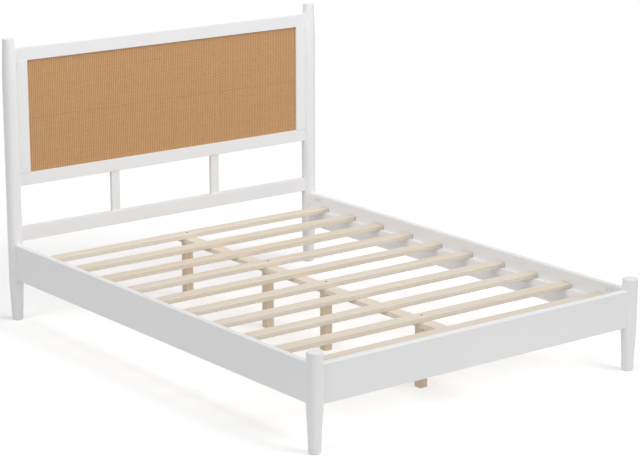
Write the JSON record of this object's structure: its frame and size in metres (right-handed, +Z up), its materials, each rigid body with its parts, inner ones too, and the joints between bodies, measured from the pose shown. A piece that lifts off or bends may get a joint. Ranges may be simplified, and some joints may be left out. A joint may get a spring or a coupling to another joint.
{
  "type": "platform bed",
  "caption": "Queen size platform bed: turned posts, framed woven rattan headboard, plain side and foot rails, slats on ledges and a centre beam on short square legs.",
  "frame": {"origin": "on the floor, under the middle of the four posts", "axes": "+X across the bed to the right seen from the foot, +Y from the foot to the head, +Z up"},
  "size_m": [1.622, 2.142, 1.21],
  "materials": {
    "white_paint": "satin white lacquer on wood",
    "rattan": "woven, matt, unvarnished",
    "board": "plain plywood, matt",
    "slat_wood": "planed, unfinished",
    "beam_wood": "planed, unfinished",
    "leg_wood": "planed, unfinished",
    "dowel_wood": "plain beech",
    "dark_steel": "black oxide",
    "white_steel": "white painted screw heads",
    "white_plastic": "moulded, matt",
    "zinc_steel": "zinc plated"
  },
  "bodies": {
    "root": {"head_post_left": "white_paint", "head_post_right": "white_paint", "foot_post_left": "white_paint", "foot_post_right": "white_paint", "headboard_top_rail": "white_paint", "headboard_panel_rail": "white_paint", "headboard_lower_rail": "white_paint", "headboard_stile_left": "white_paint", "headboard_stile_right": "white_paint", "headboard_spindle_left": "white_paint", "headboard_spindle_right": "white_paint", "panel_beads": "white_paint", "footboard_rail": "white_paint", "side_rail_left": "white_paint", "side_rail_right": "white_paint", "slat_ledge_left": "white_paint", "slat_ledge_right": "white_paint", "rattan_panel": "rattan", "panel_backing_board": "board", "slat_01": "slat_wood", "slat_02": "slat_wood", "slat_03": "slat_wood", "slat_04": "slat_wood", "slat_05": "slat_wood", "slat_06": "slat_wood", "slat_07": "slat_wood", "slat_08": "slat_wood", "slat_09": "slat_wood", "slat_10": "slat_wood", "centre_beam": "beam_wood", "centre_leg_1": "leg_wood", "centre_leg_2": "leg_wood", "centre_leg_3": "leg_wood", "centre_leg_4": "leg_wood", "centre_leg_bolts": "dark_steel", "centre_leg_inserts": "zinc_steel", "bed_studs": "zinc_steel", "bed_crescent_washers": "zinc_steel", "bed_nuts": "zinc_steel", "post_inserts": "zinc_steel", "ledge_screws": "white_steel", "pocket_covers": "white_plastic", "headboard_rail_dowels": "dowel_wood", "headboard_frame_dowels": "dowel_wood", "footboard_dowels": "dowel_wood", "slat_pegs": "dowel_wood"}
  },
  "joints": []
}
